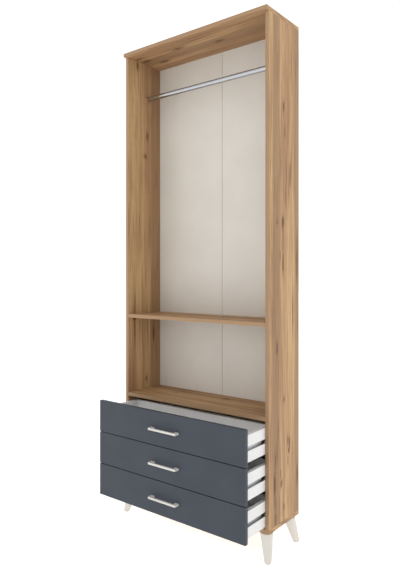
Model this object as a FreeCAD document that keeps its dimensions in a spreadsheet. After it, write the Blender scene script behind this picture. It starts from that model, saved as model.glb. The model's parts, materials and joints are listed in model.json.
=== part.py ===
import FreeCAD, Part
import os
import re
import Sketcher

# Driving dimensions of the wardrobe, in millimetres

SIZES = {
    # Carcass boards
    "board": 16.0,
    "width": 766.0,
    "depth": 237.0,
    "drawer_bay": 410.0,
    "low_bay": 344.0,
    "hanging_bay": 1182.0,
    "top_overhang": 15.0,
    "arris": 0.8,
    # Back in two sheets
    "back_recess": 19.0,
    "back_sheet": 3.0,
    "back_groove": 8.0,
    "groove_play": 0.25,
    "seam_offset": 9.0,
    "seam_gap": 2.0,
    "strip_width": 40.0,
    "strip_thickness": 3.0,
    # Shelf and its pins
    "shelf_play": 0.5,
    "pin_diameter": 5.0,
    "pin_inset": 37.0,
    "ledge_reach": 9.0,
    "ledge_width": 10.0,
    "ledge_height": 12.0,
    # Hanging rail and its sockets
    "rail_diameter": 22.0,
    "rail_wall": 1.2,
    "rail_setback": 122.0,
    "rail_drop": 166.0,
    "rail_play": 0.15,
    "socket_plate": 3.0,
    "socket_cup": 9.0,
    "socket_wall": 2.2,
    "socket_rim": 1.2,
    # Legs
    "leg_height": 108.0,
    "leg_top_diameter": 51.0,
    "leg_foot_diameter": 28.0,
    "leg_lean_side": 20.5,
    "leg_lean_depth": 24.5,
    "leg_inset_side": 25.5,
    "leg_inset_front": 25.5,
    "leg_inset_rear": 38.5,
    "leg_round": 1.5,
    "glide_diameter": 22.0,
    "glide_thickness": 3.0,
    "leg_plate": 2.5,
    "leg_plate_diameter": 38.0,
    "leg_screw_spacing": 20.0,
    "stud_diameter": 8.0,
    "stud_length": 22.0,
    # Board joints, with the wood that is left behind a blind hole
    "hole_play": 0.1,
    "overrun": 2.0,
    "blind_wood": 6.0,
    "dowel_diameter": 8.0,
    "dowel_length": 30.0,
    "board_screw_head": 10.0,
    "board_screw_head_height": 3.0,
    "board_screw_diameter": 6.0,
    "board_screw_length": 50.0,
    "cam_diameter": 15.0,
    "cam_cover": 4.0,
    "cam_inset": 24.0,
    "cam_bolt_diameter": 7.0,
    # Small wood screws, with the wood that is left beyond their points
    "small_head": 6.0,
    "small_head_height": 1.2,
    "small_diameter": 3.5,
    "point_cover": 3.0,
    # Drawer fronts
    "front_board": 16.0,
    "front_inset": 1.0,
    "front_gap": 3.0,
    "front_lap": 5.5,
    "front_rise": 3.5,
    "closing_gap": 1.2,
    "drawer_opening": 142.0,
    # Drawer boxes
    "box_wall": 16.0,
    "box_drop": 30.0,
    "box_lift": 5.4,
    "box_rear_gap": 18.0,
    "bottom_sheet": 3.0,
    "bottom_lift": 10.0,
    "bottom_groove": 6.0,
    "connector_diameter": 6.0,
    "connector_length": 28.0,
    "box_screw_head": 7.0,
    "box_screw_head_height": 2.0,
    "box_screw_diameter": 4.0,
    "box_screw_length": 40.0,
    # Handles
    "handle_spacing": 128.0,
    "handle_foot": 17.0,
    "handle_reach": 24.0,
    "handle_bar": 8.0,
    "handle_corner": 4.0,
    "handle_round": 0.8,
    "handle_screw_head": 8.0,
    "handle_screw_head_height": 2.0,
    "handle_screw_diameter": 4.0,
    "handle_thread": 9.0,
    # Ball-bearing runners, with slides let into the drawer boxes
    "box_side_gap": 1.2,
    "runner_steel": 1.0,
    "runner_depth": 8.0,
    "runner_setback": 3.0,
    "runner_end_gap": 15.0,
    "slide_height": 17.0,
    "slide_depth": 9.0,
    "slide_inset": 0.3,
    "slide_setback": 2.0,
    "slide_end_gap": 4.0,
    "race_height": 2.9,
    "ball_play": 0.3,
    "cage_length": 50.0,
    "cage_setback": 62.0,
    "cage_web": 0.8,
    "cage_arm": 5.5,
    "cage_play": 0.3,
}

# Places of fasteners, as shares of the run between the leg plates, of a runner or of a drawer box

DOWEL_DEPTH_SHARES = (0.05, 0.73)
SCREW_DEPTH_SHARES = (0.29, 0.97)
RUNNER_SCREW_SHARES = (0.16, 0.84)
CONNECTOR_HEIGHT_SHARES = (0.3, 0.75)
BOX_SCREW_HEIGHT_SHARES = (0.25, 0.75)

SIDES = {"left": -1, "right": 1}
INWARD = {"left": "x", "right": "-x"}
OUTWARD = {"left": "-x", "right": "x"}
DRAWERS = ("upper_drawer", "middle_drawer", "lower_drawer")

# Lengths worked out from the driving dimensions

SIDE_HEIGHT = "(drawer_bay + low_bay + hanging_bay + 2 * board)"
BACK_SETBACK = "(depth - back_recess)"
BOARD_SEAT = "(board - blind_wood)"
JOINT_RUN = "(depth - leg_inset_front - leg_inset_rear - leg_plate_diameter)"
CUP = "(rail_diameter + 2 * (rail_play + socket_wall))"
FRONT_STACK = f"(drawer_bay + front_lap - front_rise - {len(DRAWERS) - 1} * front_gap)"
FRONT_HEIGHT = f"({FRONT_STACK} / {len(DRAWERS)})"
BOX_HEIGHT = f"({FRONT_HEIGHT} - box_drop - box_lift)"
BOX_LENGTH = f"({BACK_SETBACK} + closing_gap - box_rear_gap)"
SLIDE_LENGTH = f"({BOX_LENGTH} - slide_setback - slide_end_gap)"
RUNNER_LENGTH = f"({BACK_SETBACK} - runner_setback - runner_end_gap)"
RUNNER_HEIGHT = "(slide_height - 2 * (race_height + runner_steel))"
HANDLE_LENGTH = "(handle_spacing + handle_foot)"

# Planes worked out from them: X from the middle, Y from the middle of the depth, Z from the floor

HALF = "(width / 2)"
INNER = "(width / 2 - board)"
SIDE_MIDDLE = "(width / 2 - board / 2)"
BOX_OUTER = f"({INNER} - box_side_gap)"
BOX_INNER = f"({BOX_OUTER} - box_wall)"
SLIDE_MOUTH = f"({BOX_OUTER} - slide_inset)"
SLIDE_SEAT = f"({SLIDE_MOUTH} - slide_depth)"
FRONT_REACH = "(drawer_opening + closing_gap + front_board + handle_reach)"
FRONT = f"(({FRONT_REACH} - depth) / 2)"
BACK = f"({FRONT} + depth)"
JOINT_START = f"({FRONT} + leg_inset_front + leg_plate_diameter / 2)"
BACK_FACE = f"({FRONT} + {BACK_SETBACK})"
BOX_FRONT = f"({FRONT} - drawer_opening - closing_gap)"
BOX_BACK = f"({BOX_FRONT} + {BOX_LENGTH})"
FRONT_FACE = f"({BOX_FRONT} - front_board)"
FLOOR = "(leg_height + board)"
DECK = f"({FLOOR} + drawer_bay)"
SHELF = f"({DECK} + board + low_bay)"
CEILING = f"({SHELF} + board + hanging_bay)"

doc = FreeCAD.newDocument("Wardrobe")
sheet = doc.addObject("Spreadsheet::Sheet", "Sizes")
for row, (alias, value) in enumerate(SIZES.items(), start=1):
    sheet.set(f"A{row}", alias)
    sheet.set(f"B{row}", str(value))
    sheet.setAlias(f"B{row}", alias)
doc.recompute()

pieces = []


def keep(piece):
    """Lists a finished piece, which is written under its label."""
    pieces.append(piece)
    return piece


def cells(formula):
    """Turns the names of sizes in a formula into the sheet's cells."""
    return re.sub(r"[a-z_]+", lambda word: "Sizes." + word.group(), formula)


def bind(thing, formulas):
    """Ties properties of an object to formulas of named sizes."""
    for name, formula in formulas.items():
        thing.setExpression(name, cells(formula))
    return thing


def place(thing, at):
    """Ties an object's place to three formulas."""
    return bind(thing, {f"Placement.Base.{axis}": formula for axis, formula in zip("xyz", at)})


def aim(along):
    """Turn that takes the Z axis to the named direction."""
    direction = {"x": (1, 0, 0), "y": (0, 1, 0), "z": (0, 0, 1)}[along[-1]]
    sign = -1 if along.startswith("-") else 1
    return FreeCAD.Rotation(FreeCAD.Vector(0, 0, 1), FreeCAD.Vector(*direction) * sign)


def moved(at, along, distance):
    """A place moved by a distance in the named direction."""
    sign = "-" if along.startswith("-") else "+"
    return tuple(f"{formula} {sign} ({distance})" if axis == along[-1] else formula
                 for axis, formula in zip("xyz", at))


def low_x(side, near, far):
    """Lower X of a block that lies between two distances from the middle plane."""
    return f"-({far})" if side == "left" else near


def off_middle(side, distance):
    """X at a distance from the middle plane, on the named side."""
    return f"{SIDES[side]} * ({distance})"


def box(name, low, size):
    block = doc.addObject("Part::Box", name)
    bind(block, dict(zip(("Length", "Width", "Height"), size)))
    return place(block, low)


def cylinder(name, at, along, diameter, length):
    bar = doc.addObject("Part::Cylinder", name)
    bar.Placement = FreeCAD.Placement(FreeCAD.Vector(), aim(along))
    bind(bar, {"Radius": f"({diameter}) / 2", "Height": length})
    return place(bar, at)


def joined(name, members):
    fusion = doc.addObject("Part::MultiFuse", name)
    fusion.Shapes = members
    return fusion


def group(name, members):
    compound = doc.addObject("Part::Compound", name)
    compound.Links = members
    return compound


def cut(name, base, tool):
    result = doc.addObject("Part::Cut", name)
    result.Base = base
    result.Tool = tool
    return result


def drilled(name, blank, cutters):
    """A finished piece: a blank with its grooves and holes taken out."""
    return keep(cut(name, blank, group(name + "_cutters", cutters)))


def eased(body, feature, radius):
    """Rounds all edges of a body's last feature."""
    easing = body.newObject("PartDesign::Fillet", feature.Name + "_easing")
    easing.Base = (feature, [""])
    easing.UseAllEdges = True
    return bind(easing, {"Radius": radius})


def eased_board(name, low, size):
    """A board with all its edges a little rounded."""
    body = doc.addObject("PartDesign::Body", name)
    block = body.newObject("PartDesign::AdditiveBox", name + "_block")
    bind(block, dict(zip(("Length", "Width", "Height"), size)))
    eased(body, block, "arris")
    return place(body, low)


def pin_set(name, spots, diameter, length):
    """Plain pins, and the holes that they sit in."""
    pins = []
    holes = []
    for number, (at, along) in enumerate(spots, start=1):
        pins.append(cylinder(f"{name}_{number}", at, along, diameter, length))
        holes.append(cylinder(f"{name}_hole_{number}", moved(at, along, "-hole_play"), along,
                              f"{diameter} + 2 * hole_play", f"{length} + 2 * hole_play"))
    return pins, holes


def screw_set(name, spots, head, head_height, diameter, length):
    """Flat-headed screws from the face of the head, and the stepped holes for them."""
    screws = []
    holes = []
    for number, (at, along) in enumerate(spots, start=1):
        cap = cylinder(f"{name}_head_{number}", at, along, head, head_height)
        shank = cylinder(f"{name}_shank_{number}", at, along, diameter, length)
        screws.append(joined(f"{name}_{number}", [cap, shank]))
        sink = cylinder(f"{name}_sink_{number}", moved(at, along, "-overrun"), along,
                        f"{head} + 2 * hole_play", f"{head_height} + overrun")
        bore = cylinder(f"{name}_bore_{number}", at, along,
                        f"{diameter} + 2 * hole_play", f"{length} + hole_play")
        holes.append(joined(f"{name}_hole_{number}", [sink, bore]))
    return screws, holes


def small_screw_set(name, spots, head_height, through, wood):
    """Small screws that pass a plate and stop short of the far face of the wood."""
    return screw_set(name, spots, "small_head", head_height, "small_diameter",
                     f"{through} + {wood} - point_cover")


# Groove that holds the back sheets in the sides, the top and the bottom

back_groove = box("back_groove_cutter",
                  (f"-({INNER} + back_groove)", f"{BACK_FACE} - groove_play", f"{FLOOR} - back_groove"),
                  (f"2 * ({INNER} + back_groove)", "back_sheet + 2 * groove_play",
                   f"{SIDE_HEIGHT} + 2 * back_groove"))

# Dowels between the sides and the top, the bottom and the deck

dowel_spots = []
for side in SIDES:
    middle = off_middle(side, SIDE_MIDDLE)
    deck_start = off_middle(side, f"{INNER} + {BOARD_SEAT}")
    for share in DOWEL_DEPTH_SHARES:
        y = f"{JOINT_START} + {share} * {JOINT_RUN}"
        dowel_spots.append(((middle, y, f"{CEILING} + {BOARD_SEAT}"), "-z"))
        dowel_spots.append(((middle, y, f"{FLOOR} - {BOARD_SEAT}"), "z"))
        dowel_spots.append(((deck_start, y, f"{DECK} + board / 2"), INWARD[side]))
dowels, dowel_holes = pin_set("dowel", dowel_spots, "dowel_diameter", "dowel_length")
keep(group("carcass_dowels", dowels))

# Screws down through the top and up through the bottom into the ends of the sides

board_screw_spots = []
for side in SIDES:
    middle = off_middle(side, SIDE_MIDDLE)
    for share in SCREW_DEPTH_SHARES:
        y = f"{JOINT_START} + {share} * {JOINT_RUN}"
        board_screw_spots.append(((middle, y, f"{CEILING} + board"), "-z"))
        board_screw_spots.append(((middle, y, "leg_height"), "z"))
board_screws, board_screw_holes = screw_set("board_screw", board_screw_spots, "board_screw_head",
                                            "board_screw_head_height", "board_screw_diameter",
                                            "board_screw_length")
keep(group("carcass_screws", board_screws))

# Cams in the underside of the deck, with their bolts into the sides

cam_fasteners = []
cam_holes = []
for side in SIDES:
    for number, share in enumerate(SCREW_DEPTH_SHARES, start=1):
        name = f"cam_{side}_{number}"
        y = f"{JOINT_START} + {share} * {JOINT_RUN}"
        cam_at = (off_middle(side, f"{INNER} - cam_inset"), y, DECK)
        bolt_at = (off_middle(side, f"{INNER} + {BOARD_SEAT}"), y, f"{DECK} + board / 2")
        bolt_length = f"{BOARD_SEAT} + cam_inset - cam_diameter / 2 - 2 * hole_play"
        cam_fasteners.append(cylinder(name, cam_at, "z", "cam_diameter", "board - cam_cover"))
        cam_fasteners.append(cylinder(name + "_bolt", bolt_at, INWARD[side], "cam_bolt_diameter",
                                      bolt_length))
        pocket = cylinder(name + "_pocket", moved(cam_at, "z", "-overrun"), "z",
                          "cam_diameter + 2 * hole_play", "board - cam_cover + overrun + hole_play")
        bore = cylinder(name + "_bore", moved(bolt_at, INWARD[side], "-hole_play"), INWARD[side],
                        "cam_bolt_diameter + 2 * hole_play", f"{BOARD_SEAT} + cam_inset")
        cam_holes.append(joined(name + "_hole", [pocket, bore]))
keep(group("deck_cam_fasteners", cam_fasteners))

# Shelf pins: a round pin in the side with a ledge under the shelf

shelf_pins = []
pin_holes = []
for side in SIDES:
    ledge_x = low_x(side, f"{INNER} - ledge_reach", INNER)
    for end, y in (("front", f"{FRONT} + pin_inset"), ("rear", f"{BACK_FACE} - pin_inset")):
        name = f"shelf_pin_{side}_{end}"
        ledge = box(name + "_ledge", (ledge_x, f"{y} - ledge_width / 2", f"{SHELF} - ledge_height"),
                    ("ledge_reach", "ledge_width", "ledge_height"))
        at = (off_middle(side, f"{INNER} + {BOARD_SEAT}"), y, f"{SHELF} - ledge_height / 2")
        pin = cylinder(name + "_round", at, INWARD[side], "pin_diameter", f"{BOARD_SEAT} + ledge_reach / 2")
        shelf_pins.append(joined(name, [ledge, pin]))
        pin_holes.append(cylinder(name + "_hole", moved(at, INWARD[side], "-hole_play"), INWARD[side],
                                  "pin_diameter + 2 * hole_play", f"{BOARD_SEAT} + hole_play"))
keep(group("shelf_pins", shelf_pins))

# Hanging rail: a round tube from socket plate to socket plate

RAIL_Y = f"({FRONT} + rail_setback)"
RAIL_Z = f"({CEILING} - rail_drop)"
rail_start = (f"-({INNER} - socket_plate)", RAIL_Y, RAIL_Z)
rail_length = f"2 * ({INNER} - socket_plate)"
tube = cylinder("rail_tube", rail_start, "x", "rail_diameter", rail_length)
hollow = cylinder("rail_hollow", moved(rail_start, "x", "-overrun"), "x", "rail_diameter - 2 * rail_wall",
                  f"{rail_length} + 2 * overrun")
keep(cut("hanging_rail", tube, hollow))

# Rail sockets: an oval plate with a cup around the end of the rail, held by two screws

SOCKET_SCREW_RISE = f"(({CUP} + small_head) / 2 + socket_rim)"
SOCKET_WIDTH = f"({CUP} + socket_rim)"
SOCKET_END_RISE = f"({SOCKET_SCREW_RISE} + small_head / 2 + socket_rim - {SOCKET_WIDTH} / 2)"

socket_screw_spots = []
for side in SIDES:
    plate_face = (off_middle(side, f"{INNER} - socket_plate"), RAIL_Y, RAIL_Z)
    for along in ("-z", "z"):
        socket_screw_spots.append((moved(plate_face, along, SOCKET_SCREW_RISE), OUTWARD[side]))
socket_screws, socket_screw_holes = small_screw_set("socket_screw", socket_screw_spots, "small_head_height",
                                                    "socket_plate", "board")
keep(group("rail_socket_screws", socket_screws))

for side in SIDES:
    name = f"rail_socket_{side}"
    wall = (off_middle(side, INNER), RAIL_Y, RAIL_Z)
    plate_x = low_x(side, f"{INNER} - socket_plate", INNER)
    middle = box(name + "_middle",
                 (plate_x, f"{RAIL_Y} - {SOCKET_WIDTH} / 2", f"{RAIL_Z} - {SOCKET_END_RISE}"),
                 ("socket_plate", SOCKET_WIDTH, f"2 * {SOCKET_END_RISE}"))
    low_end = cylinder(name + "_low_end", moved(wall, "-z", SOCKET_END_RISE), INWARD[side], SOCKET_WIDTH,
                       "socket_plate")
    high_end = cylinder(name + "_high_end", moved(wall, "z", SOCKET_END_RISE), INWARD[side], SOCKET_WIDTH,
                        "socket_plate")
    cup = cylinder(name + "_cup", wall, INWARD[side], CUP, "socket_plate + socket_cup")
    mouth = cylinder(name + "_mouth", moved(wall, INWARD[side], "socket_plate"), INWARD[side],
                     "rail_diameter + 2 * rail_play", "socket_cup + overrun")
    shell = cut(name + "_shell", joined(name + "_solid", [middle, low_end, high_end, cup]), mouth)
    drilled(name, shell, socket_screw_holes)

# Legs: an oblique taper between two level rings, hung on a steel plate with a stud

LEG_RINGS = {
    "top": ("leg_top_diameter", "leg_height - leg_plate", "0", "0"),
    "foot": ("leg_foot_diameter", "glide_thickness", "leg_lean_side", "leg_lean_depth"),
}
LEG_ENDS = {
    "front": (-1, f"{FRONT} + leg_inset_front"),
    "rear": (1, f"{BACK} - leg_inset_rear"),
}


def leg_ring(body, name, ring_sizes, side_sign, end_sign):
    """A level circle of a leg, set off to the side and to the front or rear."""
    diameter, height, lean_side, lean_depth = ring_sizes
    ring = body.newObject("Sketcher::SketchObject", name)
    plane = next(feature for feature in body.Origin.OriginFeatures if feature.Role == "XY_Plane")
    ring.AttachmentSupport = [(plane, "")]
    ring.MapMode = "FlatFace"
    ring.addGeometry(Part.Circle(), False)
    ring.addConstraint(Sketcher.Constraint("Coincident", 0, 3, -1, 1))
    size = ring.addConstraint(Sketcher.Constraint("Diameter", 0, 1))
    ring.renameConstraint(size, "ring_diameter")
    return bind(ring, {"Constraints.ring_diameter": diameter,
                       "AttachmentOffset.Base.x": f"{side_sign} * {lean_side}",
                       "AttachmentOffset.Base.y": f"{end_sign} * {lean_depth}",
                       "AttachmentOffset.Base.z": height})


def leg_blank(name, side_sign, end_sign):
    body = doc.addObject("PartDesign::Body", name)
    top_ring, foot_ring = [leg_ring(body, f"{name}_{word}_ring", ring_sizes, side_sign, end_sign)
                           for word, ring_sizes in LEG_RINGS.items()]
    taper = body.newObject("PartDesign::AdditiveLoft", name + "_taper")
    taper.Profile = top_ring
    taper.Sections = [foot_ring]
    eased(body, taper, "leg_round")
    return body


glides = []
plates = []
leg_screw_spots = []
for end, (end_sign, y) in LEG_ENDS.items():
    for side, side_sign in SIDES.items():
        name = f"leg_{end}_{side}"
        x = off_middle(side, f"{HALF} - leg_inset_side")
        top = (x, y, "leg_height - leg_plate")
        foot = (f"{x} + {side_sign} * leg_lean_side", f"{y} + {end_sign} * leg_lean_depth", "0")
        blank = place(leg_blank(name + "_blank", side_sign, end_sign), (x, y, "0"))
        bore = cylinder(name + "_bore", moved(top, "z", "overrun"), "-z", "stud_diameter + 2 * hole_play",
                        "stud_length + overrun + hole_play")
        drilled(name, blank, [bore])
        glides.append(cylinder(name + "_glide", foot, "z", "glide_diameter", "glide_thickness"))
        disc = cylinder(name + "_disc", top, "z", "leg_plate_diameter", "leg_plate")
        stud = cylinder(name + "_stud", moved(top, "z", "leg_plate / 2"), "-z", "stud_diameter",
                        "stud_length + leg_plate / 2")
        plates.append(joined(name + "_plate", [disc, stud]))
        for across in ("-x", "x"):
            for along in ("-y", "y"):
                corner = moved(moved(top, across, "leg_screw_spacing / 2"), along, "leg_screw_spacing / 2")
                leg_screw_spots.append((corner, "z"))
leg_screws, leg_screw_holes = small_screw_set("leg_screw", leg_screw_spots, "small_head_height",
                                              "leg_plate", "board")
keep(group("leg_glides", glides))
keep(group("leg_plate_screws", leg_screws))
drilled("leg_plates", group("leg_plate_blanks", plates), leg_screw_holes)

# Heights of the three drawers, from the top down

DRAWER_TOPS = {drawer: f"({DECK} + front_lap - {number} * ({FRONT_HEIGHT} + front_gap))"
               for number, drawer in enumerate(DRAWERS)}
BOX_BOTTOMS = {drawer: f"({top} - box_drop - {BOX_HEIGHT})" for drawer, top in DRAWER_TOPS.items()}
RUNNER_MIDDLES = {drawer: f"({bottom} + {BOX_HEIGHT} / 2)" for drawer, bottom in BOX_BOTTOMS.items()}

# Cabinet runners: slim steel channels on the sides, with ball cages between them and the slides


def channel(name, low, size, opens):
    """A length of steel channel, open towards the named direction."""
    depth, length, height = size
    hollow_x = f"{low[0]} - overrun" if opens == "-x" else f"{low[0]} + runner_steel"
    block = box(name + "_block", low, size)
    hollow = box(name + "_hollow", (hollow_x, f"{low[1]} - overrun", f"{low[2]} + runner_steel"),
                 (f"{depth} - runner_steel + overrun", f"{length} + 2 * overrun",
                  f"{height} - 2 * runner_steel"))
    return cut(name, block, hollow)


def ball_cage(name, side, middle):
    """A cage: a web inside the slide, with an arm above and an arm below the cabinet runner."""
    near = f"{SLIDE_SEAT} + runner_steel + cage_play"
    y = f"{FRONT} + cage_setback - drawer_opening / 2"
    half_height = "(slide_height / 2 - runner_steel - ball_play)"
    web = box(name + "_web", (low_x(side, near, f"{near} + cage_web"), y, f"{middle} - {half_height}"),
              ("cage_web", "cage_length", f"2 * {half_height}"))
    arm_x = low_x(side, near, f"{near} + cage_arm")
    arm_size = ("cage_arm", "cage_length", "race_height - 2 * ball_play")
    upper_arm = box(name + "_upper_arm", (arm_x, y, f"{middle} + {RUNNER_HEIGHT} / 2 + ball_play"), arm_size)
    lower_arm = box(name + "_lower_arm", (arm_x, y, f"{middle} - {half_height}"), arm_size)
    return joined(name, [web, upper_arm, lower_arm])


runner_screw_spots = []
for middle in RUNNER_MIDDLES.values():
    for side in SIDES:
        for share in RUNNER_SCREW_SHARES:
            y = f"{FRONT} + runner_setback + {share} * {RUNNER_LENGTH}"
            at = (off_middle(side, f"{INNER} - runner_steel"), y, middle)
            runner_screw_spots.append((at, OUTWARD[side]))
runner_screws, runner_screw_holes = small_screw_set("runner_screw", runner_screw_spots, "runner_steel",
                                                    "runner_steel", "board")
keep(group("cabinet_runner_screws", runner_screws))

for drawer, middle in RUNNER_MIDDLES.items():
    runners = []
    cages = []
    for side in SIDES:
        low = (low_x(side, f"{INNER} - runner_depth", INNER), f"{FRONT} + runner_setback",
               f"{middle} - {RUNNER_HEIGHT} / 2")
        runners.append(channel(f"{drawer}_runner_{side}", low, ("runner_depth", RUNNER_LENGTH, RUNNER_HEIGHT),
                               INWARD[side]))
        cages.append(ball_cage(f"{drawer}_cage_{side}", side, middle))
    drilled(f"{drawer}_cabinet_runners", group(f"{drawer}_runner_blanks", runners), runner_screw_holes)
    keep(group(f"{drawer}_ball_cages", cages))

# Drawers: a board box with a sheet bottom behind a wide front, on slides


def handle_blank(name):
    """A bridge handle: a bar with rounded corners on two feet."""
    body = doc.addObject("PartDesign::Body", name)
    block = body.newObject("PartDesign::AdditiveBox", name + "_block")
    bind(block, {"Length": HANDLE_LENGTH, "Width": "handle_reach", "Height": "handle_bar"})
    doc.recompute()
    outer_y = block.Shape.BoundBox.YMin
    corners = [f"Edge{number}" for number, edge in enumerate(block.Shape.Edges, start=1)
               if edge.BoundBox.YMax == outer_y and edge.BoundBox.ZLength > edge.BoundBox.XLength]
    turning = body.newObject("PartDesign::Fillet", name + "_corners")
    turning.Base = (block, corners)
    bind(turning, {"Radius": "handle_corner"})
    gap = body.newObject("PartDesign::SubtractiveBox", name + "_finger_gap")
    bind(gap, {"Length": "handle_spacing - handle_foot", "Width": "handle_reach",
               "Height": "handle_bar + 2 * overrun"})
    place(gap, ("handle_foot", "handle_bar", "-overrun"))
    eased(body, gap, "handle_round")
    return body


def drawer_fasteners(drawer, handle_middle):
    """Keeps a drawer's screws and bolts as one group, and returns the holes for each kind."""
    bottom = BOX_BOTTOMS[drawer]
    handle_y = f"{BOX_FRONT} + handle_screw_head_height"
    handle_spots = [((off_middle(side, "handle_spacing / 2"), handle_y, handle_middle), "-y")
                    for side in SIDES]
    connector_spots = []
    box_spots = []
    slide_spots = []
    for side in SIDES:
        wall_middle = off_middle(side, f"{BOX_OUTER} - box_wall / 2")
        for share in CONNECTOR_HEIGHT_SHARES:
            z = f"{bottom} + {share} * {BOX_HEIGHT}"
            connector_spots.append(((wall_middle, f"{BOX_FRONT} - (front_board - blind_wood)", z), "y"))
        for share in BOX_SCREW_HEIGHT_SHARES:
            z = f"{bottom} + {share} * {BOX_HEIGHT}"
            box_spots.append(((off_middle(side, BOX_OUTER), f"{BOX_BACK} - box_wall / 2", z), INWARD[side]))
        for share in RUNNER_SCREW_SHARES:
            y = f"{BOX_FRONT} + slide_setback + {share} * {SLIDE_LENGTH}"
            at = (off_middle(side, f"{SLIDE_SEAT} + runner_steel"), y, RUNNER_MIDDLES[drawer])
            slide_spots.append((at, INWARD[side]))
    handle_set, handle_holes = screw_set(f"{drawer}_handle_screw", handle_spots, "handle_screw_head",
                                         "handle_screw_head_height", "handle_screw_diameter",
                                         "handle_screw_head_height + front_board + handle_thread")
    connectors, connector_holes = pin_set(f"{drawer}_connector", connector_spots, "connector_diameter",
                                          "connector_length")
    box_set, box_holes = screw_set(f"{drawer}_box_screw", box_spots, "box_screw_head",
                                   "box_screw_head_height", "box_screw_diameter", "box_screw_length")
    slide_set, slide_holes = small_screw_set(f"{drawer}_slide_screw", slide_spots, "runner_steel",
                                             "runner_steel", "box_wall - slide_inset - slide_depth")
    keep(group(f"{drawer}_screws", handle_set + connectors + box_set + slide_set))
    return handle_holes, connector_holes, box_holes, slide_holes


def bottom_block(name, bottom, edge, play):
    """Block of a drawer's bottom sheet, let into the boards by an edge, with play above and below."""
    return box(name,
               (f"-({BOX_INNER} + {edge})", f"{BOX_FRONT} - {edge}", f"{bottom} + bottom_lift - {play}"),
               (f"2 * ({BOX_INNER} + {edge})", f"{BOX_LENGTH} - box_wall + 2 * {edge}",
                f"bottom_sheet + 2 * {play}"))


def build_drawer(drawer):
    top = DRAWER_TOPS[drawer]
    bottom = BOX_BOTTOMS[drawer]
    handle_middle = f"({top} - {FRONT_HEIGHT} / 2)"
    handle_holes, connector_holes, box_holes, slide_holes = drawer_fasteners(drawer, handle_middle)

    groove = bottom_block(f"{drawer}_groove_cutter", bottom, "bottom_groove", "groove_play")
    keep(bottom_block(f"{drawer}_bottom", bottom, "(bottom_groove - groove_play)", "0"))

    front = eased_board(f"{drawer}_front_blank",
                        (f"-({HALF} - front_inset)", FRONT_FACE, f"{top} - {FRONT_HEIGHT}"),
                        ("width - 2 * front_inset", "front_board", FRONT_HEIGHT))
    drilled(f"{drawer}_front", front, [groove] + handle_holes + connector_holes)
    rear = eased_board(f"{drawer}_back_blank", (f"-{BOX_INNER}", f"{BOX_BACK} - box_wall", bottom),
                       (f"2 * {BOX_INNER}", "box_wall", BOX_HEIGHT))
    drilled(f"{drawer}_back", rear, [groove] + box_holes)
    for side in SIDES:
        wall_low = (low_x(side, BOX_INNER, BOX_OUTER), BOX_FRONT, bottom)
        wall = eased_board(f"{drawer}_side_{side}_blank", wall_low, ("box_wall", BOX_LENGTH, BOX_HEIGHT))
        slide_base = f"{RUNNER_MIDDLES[drawer]} - slide_height / 2"
        slide_groove = box(f"{drawer}_slide_groove_{side}",
                           (low_x(side, SLIDE_SEAT, f"{BOX_OUTER} + overrun"), f"{BOX_FRONT} - overrun",
                            f"{slide_base} - groove_play"),
                           ("slide_inset + slide_depth + overrun", f"{BOX_LENGTH} + 2 * overrun",
                            "slide_height + 2 * groove_play"))
        wall_cutters = [groove, slide_groove] + connector_holes + box_holes + slide_holes
        drilled(f"{drawer}_side_{side}", wall, wall_cutters)
        slide_low = (low_x(side, SLIDE_SEAT, SLIDE_MOUTH), f"{BOX_FRONT} + slide_setback", slide_base)
        slide = channel(f"{drawer}_slide_{side}_blank", slide_low,
                        ("slide_depth", SLIDE_LENGTH, "slide_height"), OUTWARD[side])
        drilled(f"{drawer}_slide_{side}", slide, slide_holes)

    handle_low = (f"-{HANDLE_LENGTH} / 2", f"{FRONT_FACE} - handle_reach",
                  f"{handle_middle} - handle_bar / 2")
    handle = place(handle_blank(f"{drawer}_handle_blank"), handle_low)
    drilled(f"{drawer}_handle", handle, handle_holes)


for drawer in DRAWERS:
    build_drawer(drawer)

# Carcass boards

bottom_blank = eased_board("bottom_panel_blank", (f"-{HALF}", FRONT, "leg_height"),
                           ("width", "depth", "board"))
drilled("bottom_panel", bottom_blank, [back_groove] + dowel_holes + board_screw_holes + leg_screw_holes)
top_blank = eased_board("top_panel_blank", (f"-{HALF}", f"{FRONT} - top_overhang", CEILING),
                        ("width", "depth + top_overhang", "board"))
drilled("top_panel", top_blank, [back_groove] + dowel_holes + board_screw_holes)
for side in SIDES:
    blank = eased_board(f"side_panel_{side}_blank", (low_x(side, INNER, HALF), FRONT, FLOOR),
                        ("board", "depth", SIDE_HEIGHT))
    drilled(f"side_panel_{side}", blank, [back_groove] + dowel_holes + board_screw_holes + cam_holes
            + pin_holes + socket_screw_holes + runner_screw_holes)
deck_blank = eased_board("drawer_deck_blank", (f"-{INNER}", FRONT, DECK),
                         (f"2 * {INNER}", f"{BACK_SETBACK} - groove_play", "board"))
drilled("drawer_deck", deck_blank, dowel_holes + cam_holes)
keep(eased_board("middle_shelf", (f"-({INNER} - shelf_play)", FRONT, SHELF),
                 (f"2 * ({INNER} - shelf_play)", f"{BACK_SETBACK} - shelf_play", "board")))

# Back sheets and the strip behind their seam

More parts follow.
